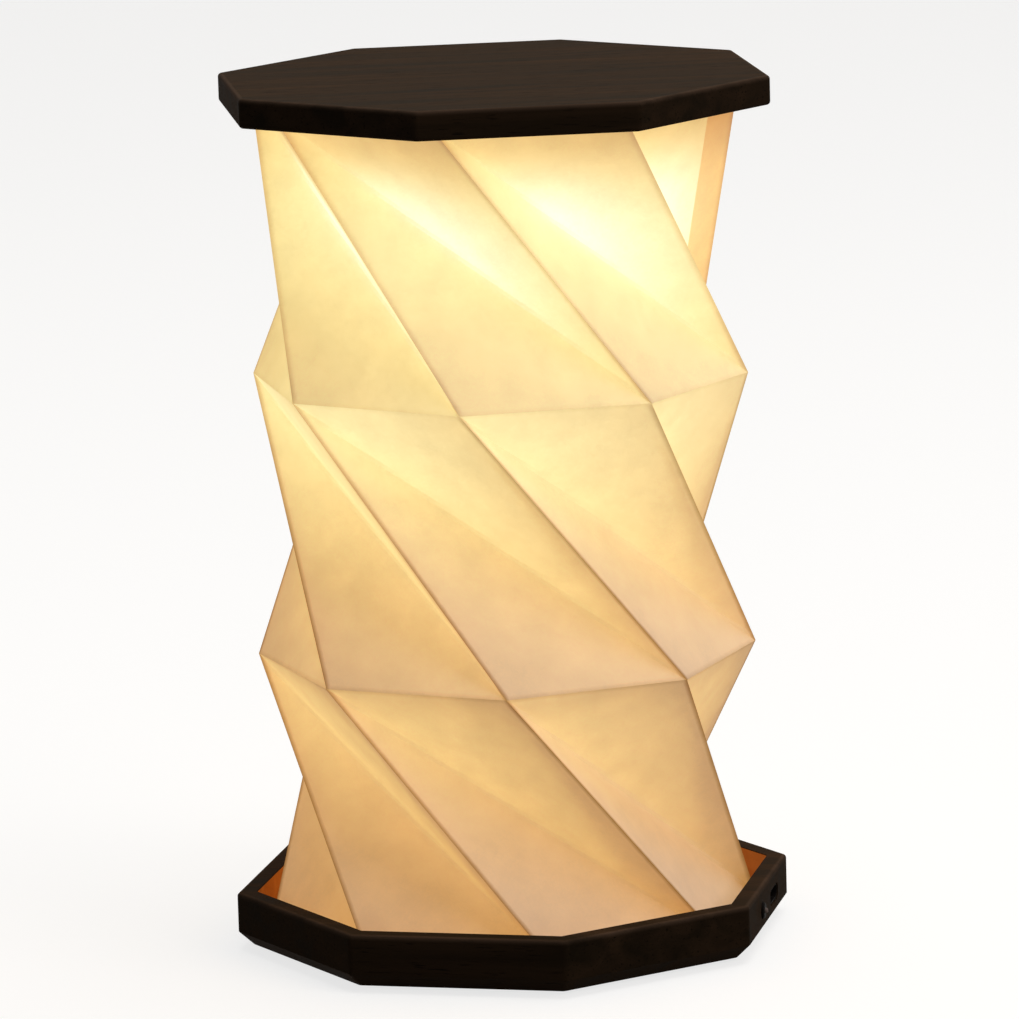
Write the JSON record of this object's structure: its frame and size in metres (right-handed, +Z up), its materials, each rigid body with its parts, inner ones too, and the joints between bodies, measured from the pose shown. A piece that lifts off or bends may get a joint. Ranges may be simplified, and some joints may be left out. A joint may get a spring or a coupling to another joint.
{
  "type": "folding paper lantern lamp",
  "caption": "Free-standing octagonal lantern: a folded paper tube between a wooden tray and a wooden top plate, which presses down with a twist to close flat.",
  "frame": {"origin": "centre of the lamp's footprint, on the surface that it stands on", "axes": "+Z up along the lamp's axis; +X out of the tray's facet that has the charging socket and the button"},
  "size_m": [0.1196, 0.1196, 0.1852],
  "materials": {
    "walnut": "oiled dark walnut, satin",
    "shade_paper": "matte spun-fibre paper, lit from inside",
    "rubber": "matte",
    "black_plastic": "moulded, fine texture",
    "socket_plastic": "moulded",
    "strip_plastic": "moulded",
    "steel": "plated",
    "nickel": "bright nickel",
    "circuit_board": "solder mask",
    "cell_foil": "satin foil",
    "aluminium_board": "white solder mask on aluminium",
    "led_phosphor": "phosphor resin",
    "opal_plastic": "opal"
  },
  "bodies": {
    "base": {"base_tray": "walnut", "foot_pads": "rubber", "hatch_cover": "black_plastic", "electronics_cup": "black_plastic", "tact_switch": "black_plastic", "usb_tongue": "black_plastic", "base_lead_socket": "socket_plastic", "control_chips": "black_plastic", "lower_hem_strips": "strip_plastic", "hatch_screws": "steel", "cup_screws": "steel", "board_screws": "steel", "port_board_screws": "steel", "lower_strip_screws": "steel", "usb_shell": "steel", "base_magnet": "nickel", "control_board": "circuit_board", "port_board": "circuit_board", "battery_cell": "cell_foil"},
    "button": {"button_cap": "nickel", "switch_plunger": "socket_plastic"},
    "shade": {"paper_shade": "shade_paper"},
    "top": {"top_plate": "walnut", "upper_hem_strips": "strip_plastic", "upper_strip_screws": "steel", "led_board": "aluminium_board", "led_chips": "led_phosphor", "led_screws": "steel", "led_diffuser": "opal_plastic", "top_magnet": "nickel", "top_lead_socket": "socket_plastic"}
  },
  "joints": [
    {"name": "shade_twist", "type": "hinge", "parent": "base", "child": "shade", "pos_m": [0, 0, 0.0041], "axis": [0, 0, -1], "range_deg": [0, 110.3]},
    {"name": "fold", "type": "slide", "parent": "shade", "child": "top", "axis": [0, 0, -1], "range_m": [0, 0.16616], "deforming": ["paper_shade"]},
    {"name": "button_press", "type": "slide", "parent": "base", "child": "button", "axis": [-1, 0, 0], "range_m": [0, 0.0004], "stiffness_N_per_m": 1500, "springref_m": -0.0003}
  ],
  "couplings": [
    {"joint": "shade_twist", "follows": "fold", "rad_per_m": 11.565}
  ]
}
